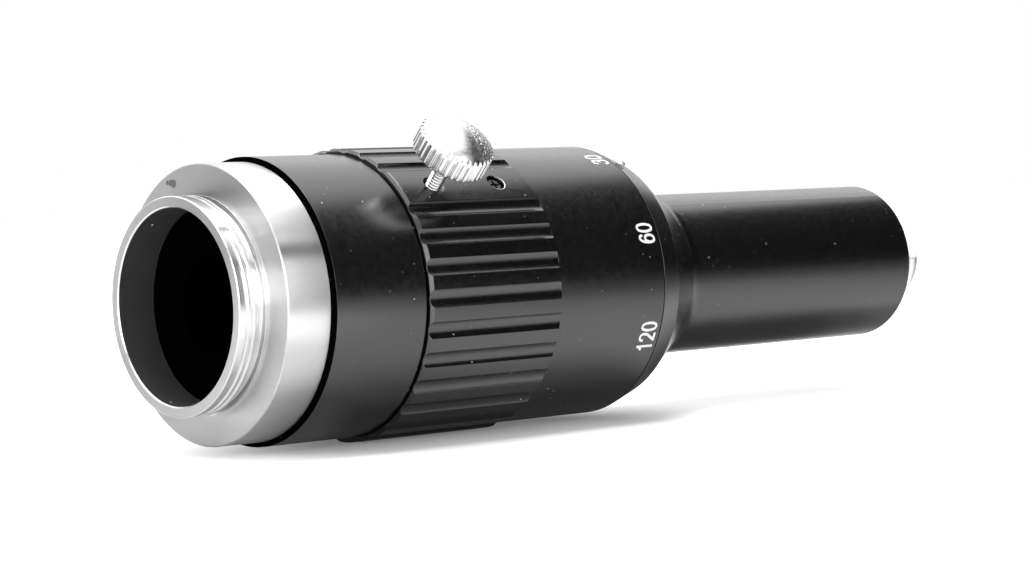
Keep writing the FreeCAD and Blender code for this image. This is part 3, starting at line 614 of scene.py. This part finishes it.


# Painted highlight on the edge of the pocket that the cross-head screw sits in, in front of the thumb
# screw

GRIP_RADIUS = 17.6
RIM_X = 34.95              # along from the flange
RIM_RADIUS = 1.19
RIM_WIDTH = 0.15
RIM_DEPTH = 0.16
RIM_FROM = -125.0
RIM_ARC = 190.0
RIM_STEPS = 60


def painted_rim_highlight():
    """A narrow bright band, a painted highlight on the rim, widest away from the thumb screw. It fades
    out towards its ends.
    """
    points = []
    faces = []
    for step in range(RIM_STEPS + 1):
        angle = math.radians(RIM_FROM + RIM_ARC * step / RIM_STEPS)
        width = RIM_WIDTH * math.sin(math.pi * step / RIM_STEPS) ** 0.8
        for extra, lower in ((0.0, RIM_DEPTH), (0.0, 0.0), (width * 0.4, -0.02), (width, 0.01)):
            out = RIM_RADIUS + extra
            side = math.sin(angle) * out
            reach = math.sqrt(GRIP_RADIUS ** 2 - side ** 2) - lower
            spot = Vector((RIM_X + math.cos(angle) * out, 0.0, 0.0)) + screw_up * reach + screw_side * side
            points.append(tuple(spot * MM))
    for step in range(RIM_STEPS):
        for row in range(3):
            base = step * 4 + row
            faces.append((base, base + 4, base + 5, base + 1, 0))
    new_piece("painted_rim_highlight", points, faces, ["satin_pin"], "focus_ring")


painted_rim_highlight()


# Numbers printed on the scale ring

SCALE_RADIUS = 17.1
PRINT_LIFT = 0.012
STROKE = 0.34
DIGIT_HEIGHT = 2.72
DIGIT_WIDTH = 1.30
DIGIT_ADVANCE = 1.42
LINE_STEPS = 5
STATION = 59.65            # the middle of the digits, along from the nose face
SETTINGS = {"30": 26.8, "60": 69.8, "120": 114.1}     # each number's angle in degrees
# Each digit's centre line, in a box one wide and one high: runs of points that are joined smoothly
DIGITS = {
    "0": [[(0.5, 1.0), (0.16, 0.9), (0.0, 0.5), (0.16, 0.1), (0.5, 0.0), (0.84, 0.1), (1.0, 0.5),
           (0.84, 0.9), (0.5, 1.0)]],
    "1": [[(0.66, -0.06), (0.66, 0.5), (0.66, 1.06)], [(0.66, 1.0), (0.48, 0.82), (0.14, 0.68)]],
    "2": [[(0.02, 0.72), (0.14, 0.93), (0.5, 1.0), (0.86, 0.93), (0.97, 0.72), (0.84, 0.5),
           (0.45, 0.24), (0.1, 0.0)], [(-0.06, 0.0), (0.5, 0.0), (1.06, 0.0)]],
    "3": [[(0.04, 0.77), (0.18, 0.95), (0.48, 1.0), (0.8, 0.93), (0.92, 0.76), (0.8, 0.6),
           (0.42, 0.54)], [(0.42, 0.54), (0.84, 0.47), (1.0, 0.28), (0.86, 0.07), (0.48, 0.0),
           (0.16, 0.06), (0.0, 0.25)]],
    "6": [[(0.96, 0.79), (0.82, 0.95), (0.54, 1.0), (0.2, 0.88), (0.02, 0.55), (0.03, 0.28),
           (0.2, 0.05), (0.52, 0.0), (0.84, 0.08), (1.0, 0.32), (0.85, 0.56), (0.52, 0.63),
           (0.2, 0.54), (0.04, 0.34)]],
}


def on_line(line, index, closed):
    """A line's point at an index, which may be one past its ends: a closed line runs on round,
    and an open one stays at its end."""
    if closed:
        return line[index % (len(line) - 1)]
    return line[min(max(index, 0), len(line) - 1)]


def smooth_line(knots, closed):
    """A smooth line through a run of points."""
    line = []
    for index in range(len(knots) - 1):
        p0, p1, p2, p3 = (Vector(on_line(knots, index + offset, closed)) for offset in (-1, 0, 1, 2))
        for step in range(LINE_STEPS):
            t = step / LINE_STEPS
            line.append(0.5 * (2 * p1 + (p2 - p0) * t + (2 * p0 - 5 * p1 + 4 * p2 - p3) * t * t
                               + (3 * p1 - p0 - 3 * p2 + p3) * t ** 3))
    line.append(Vector(knots[-1]))
    return line


def number(text, angle_deg):
    """Digits that read from larger to smaller angles, with their tops towards the mount."""
    points = []
    faces = []
    total = DIGIT_ADVANCE * (len(text) - 1) + DIGIT_WIDTH
    strokes = [(place, run) for place, digit in enumerate(text) for run in DIGITS[digit]]
    for place, run in strokes:
        left = place * DIGIT_ADVANCE - total / 2
        closed = run[0] == run[-1]
        line = [Vector((left + STROKE / 2 + spot.x * (DIGIT_WIDTH - STROKE),
                        (spot.y - 0.5) * (DIGIT_HEIGHT - STROKE)))
                for spot in smooth_line(run, closed)]
        first = len(points)
        for index, spot in enumerate(line):
            along = on_line(line, index + 1, closed) - on_line(line, index - 1, closed)
            along.normalize()
            across = Vector((-along.y, along.x)) * STROKE / 2
            for side in (-1, 1):
                mark = spot + across * side
                angle = math.radians(angle_deg) - mark.x / SCALE_RADIUS
                points.append(turned_point(STATION - mark.y, SCALE_RADIUS + PRINT_LIFT, angle))
        for index in range(len(line) - 1):
            base = first + 2 * index
            faces.append((base, base + 1, base + 3, base + 2, 0))
    new_piece("scale_number_" + text, points, faces, ["print"], "focus_ring")


for text, angle_deg in SETTINGS.items():
    number(text, angle_deg)


# Floor: white paper with the object's shadow. Lengths are in metres from here on.

FLOOR_REACH = 4.0
# Reflections see a floor that turns grey far out along this direction: painted shade
AWAY = (0.66, -0.75)
FAR_FLOOR = (0.07, 0.22)
FAR_SHADE_GREY = 0.25
# They see grey close under the rings too, but not under the mount: a painted shadow in reflections
UNDER_HALF = (0.014, 0.009)
UNDER_FROM = (0.012, 0.018)
UNDER_SHADOW_GREY = 0.45
# The deep shadow under the rings, as an oval: its middle, its half lengths and its soft edge
DEEP_MIDDLE = (0.036, -0.008)
DEEP_HALF = (0.032, 0.026)
DEEP_EDGE = (0.6, 1.4)
SHADOW_GLOW = 0.14
PAPER_GLOW = 0.68
# A painted reflection: a bright patch on the floor behind the nose face, which only reflections in the
# mount see. Its slanted edge and its edge beside the lens
REFLECTION_SLANT = 0.88
REFLECTION_EDGE = (0.009, 0.004)
REFLECTION_SHIFT = 0.017
REFLECTION_SIDE = (-0.03, -0.05)
REFLECTION_GLOW = 0.75
GLOSSY_GLOW = 0.02


def floor_paper():
    n = Finish("floor_white")
    rays = n.add("ShaderNodeLightPath").outputs
    glossy = rays["Is Glossy Ray"]
    x, y, z, out = n.apart()
    away = n.math("ADD", n.product(x, AWAY[0]), n.product(y, AWAY[1]))
    # Painted shade for glossy rays only: the floor turns grey far out
    beyond = n.product(n.span(away, *FAR_FLOOR), glossy)
    # Painted shadow under the rings, seen by glossy rays only
    under = n.product(n.span(n.math("ABSOLUTE", y), *UNDER_HALF), glossy, n.span(x, *UNDER_FROM))
    paper = n.blend(n.grain(2.0), grey(0.93), grey(0.95))
    paper = n.blend(beyond, paper, grey(FAR_SHADE_GREY))
    paper = n.blend(under, paper, grey(UNDER_SHADOW_GREY))
    diffuse = n.fill(n.add("ShaderNodeBsdfDiffuse"), Color=paper)
    deep = n.length(n.math("DIVIDE", n.math("SUBTRACT", x, DEEP_MIDDLE[0]), DEEP_HALF[0]),
                    n.math("DIVIDE", n.math("SUBTRACT", y, DEEP_MIDDLE[1]), DEEP_HALF[1]))
    to_camera = n.product(rays["Is Camera Ray"], n.span(deep, *DEEP_EDGE, SHADOW_GLOW, PAPER_GLOW))
    # Painted reflection: glow on a patch behind the nose face that only glossy rays see
    slant = n.math("ADD", x, n.product(n.math("ADD", y, REFLECTION_SHIFT), REFLECTION_SLANT))
    painted_reflection = n.product(n.span(slant, *REFLECTION_EDGE), n.span(y, *REFLECTION_SIDE), REFLECTION_GLOW)
    to_glossy = n.product(glossy, n.math("ADD", painted_reflection, GLOSSY_GLOW))
    glow = n.fill(n.add("ShaderNodeEmission"), Strength=n.math("ADD", to_camera, to_glossy))
    both = n.add("ShaderNodeAddShader")
    n.link(diffuse.outputs[0], both.inputs[0])
    n.link(glow.outputs[0], both.inputs[1])
    n.link(both.outputs[0], n.out.inputs["Surface"])
    return n.material


lowest = cad_box[0][2]
floor_mesh = bpy.data.meshes.new("floor")
floor_corners = [(-FLOOR_REACH, -FLOOR_REACH, lowest), (FLOOR_REACH, -FLOOR_REACH, lowest),
                 (FLOOR_REACH, FLOOR_REACH, lowest), (-FLOOR_REACH, FLOOR_REACH, lowest)]
floor_mesh.from_pydata(floor_corners, [], [(0, 1, 2, 3)])
floor_mesh.materials.append(floor_paper())
floor = bpy.data.objects.new("floor", floor_mesh)
bpy.context.scene.collection.objects.link(floor)


# Camera: its lens and place are fitted to the circles and outlines of the object in the photograph

camera_data = bpy.data.cameras.new("camera")
camera_data.sensor_width = 36.0
camera_data.lens = 98.3
camera_data.clip_start = 0.02
camera = bpy.data.objects.new("camera", camera_data)
bpy.context.scene.collection.objects.link(camera)
camera.matrix_world = Matrix((
    (0.74811, 0.05112, -0.66160, -0.18627),
    (-0.66247, 0.0, -0.74909, -0.26498),
    (-0.03829, 0.99869, 0.03387, 0.01217),
    (0.0, 0.0, 0.0, 1.0)))
bpy.context.scene.camera = camera


# Studio round the object, as levels of light by direction. Across, behind and up are the parts of
# the direction along X, Y and Z, and slanted leans between the first two. A part of the studio has
# its level and its bounds, each with the measure, where the part begins and where it's full. Later
# parts lie over earlier ones.

SLANT = 0.357
OPEN_LEVEL = 1.65
STUDIO = {
    "low back wall": (1.1, ("behind", 0.40, 0.55), ("up", 0.45, 0.30)),
    "far left wall": (0.22, ("across", -0.15, -0.45), ("behind", 0.0, 0.2), ("up", 0.75, 0.55)),
    "near left panel": (3.4, ("behind", 0.05, -0.05), ("across", 0.60, 0.48), ("up", 0.76, 0.70)),
    "overhead panel": (2.6, ("up", 0.76, 0.84), ("across", 0.60, 0.45)),
    "dark strip": (0.02, ("behind", 0.05, -0.05), ("up", 0.52, 0.54), ("up", 0.685, 0.665)),
    "dark right side": (0.01, ("slanted", 0.615, 0.70), ("up", 0.90, 0.80), ("behind", 0.45, 0.20)),
    "front patch": (0.45, ("across", 0.83, 0.91), ("behind", 0.06, 0.16), ("up", 0.30, 0.20)),
}
DIFFUSE_SHARE = 0.33       # how much of the studio's light falls on dull surfaces


def studio():
    world = bpy.data.worlds.new("studio")
    bpy.context.scene.world = world
    world.use_nodes = True
    n = Nodes(world.node_tree)
    across, behind, up = n.parts(n.add("ShaderNodeTexCoord").outputs["Generated"])
    measures = {"across": across, "behind": behind, "up": up,
                "slanted": n.math("SUBTRACT", across, n.product(behind, SLANT))}
    level = OPEN_LEVEL
    for part_level, *bounds in STUDIO.values():
        masks = [n.span(measures[measure], begins, full) for measure, begins, full in bounds]
        level = n.dimmed(level, n.product(*masks), part_level)
    rays = n.add("ShaderNodeLightPath").outputs
    level = n.dimmed(level, n.product(rays["Is Diffuse Ray"], 1 - DIFFUSE_SHARE), 0.0)
    level = n.dimmed(level, rays["Is Camera Ray"], 1.0)
    background = n.fill(n.add("ShaderNodeBackground"), Color=grey(1.0), Strength=level)
    n.link(background.outputs[0], n.add("ShaderNodeOutputWorld").inputs["Surface"])


def softbox(name, spot, target, size, power):
    data = bpy.data.lights.new(name, "AREA")
    data.shape = "RECTANGLE"
    data.size, data.size_y = size
    data.energy = power
    lamp = bpy.data.objects.new(name, data)
    bpy.context.scene.collection.objects.link(lamp)
    lamp.location = spot
    lamp.rotation_euler = (Vector(target) - Vector(spot)).to_track_quat("-Z", "Y").to_euler()


studio()
softbox("softbox_top", spot=(0.05, 0.02, 0.60), target=(0.05, 0.0, 0.0), size=(0.36, 0.30), power=3.4)
bpy.context.scene.view_settings.view_transform = "Standard"
